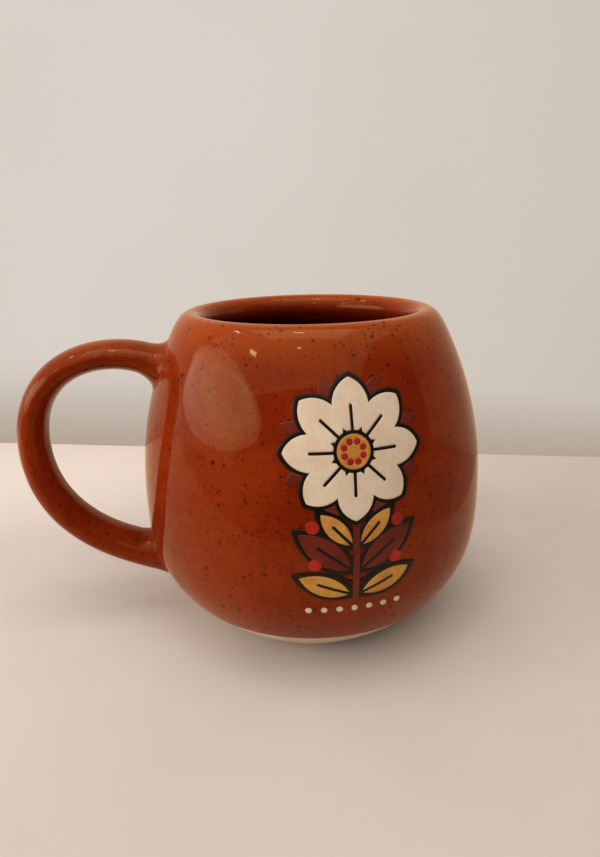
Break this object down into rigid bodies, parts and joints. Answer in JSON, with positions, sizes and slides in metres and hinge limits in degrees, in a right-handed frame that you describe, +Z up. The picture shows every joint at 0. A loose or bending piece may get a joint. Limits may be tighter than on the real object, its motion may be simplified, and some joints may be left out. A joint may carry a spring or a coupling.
{
  "type": "mug",
  "caption": "Pot-bellied glazed stoneware mug with a pulled loop handle, a rounded lip, a bare clay foot and a raised botanical print.",
  "frame": {"origin": "on the pot's axis, at the plane that the foot stands on", "axes": "+Z up through the mouth, -X towards the handle, -Y towards the print"},
  "size_m": [0.1276, 0.0963, 0.0883],
  "materials": {
    "glaze": "glossy iron-speckled orange-brown stoneware glaze",
    "bare_clay": "bare fired cream clay, matt and slightly gritty",
    "dark_enamel": "raised fired enamel, satin",
    "cream_enamel": "raised fired enamel, satin",
    "ochre_enamel": "raised fired enamel, satin",
    "russet_enamel": "raised fired enamel, satin",
    "red_enamel": "raised fired enamel, satin"
  },
  "bodies": {
    "root": {"pot": "glaze", "foot": "bare_clay", "handle_strap": "glaze", "upper_lute": "glaze", "lower_lute": "glaze", "print_dark": "dark_enamel", "print_cream": "cream_enamel", "print_ochre": "ochre_enamel", "print_russet": "russet_enamel", "print_red": "red_enamel"}
  },
  "joints": []
}
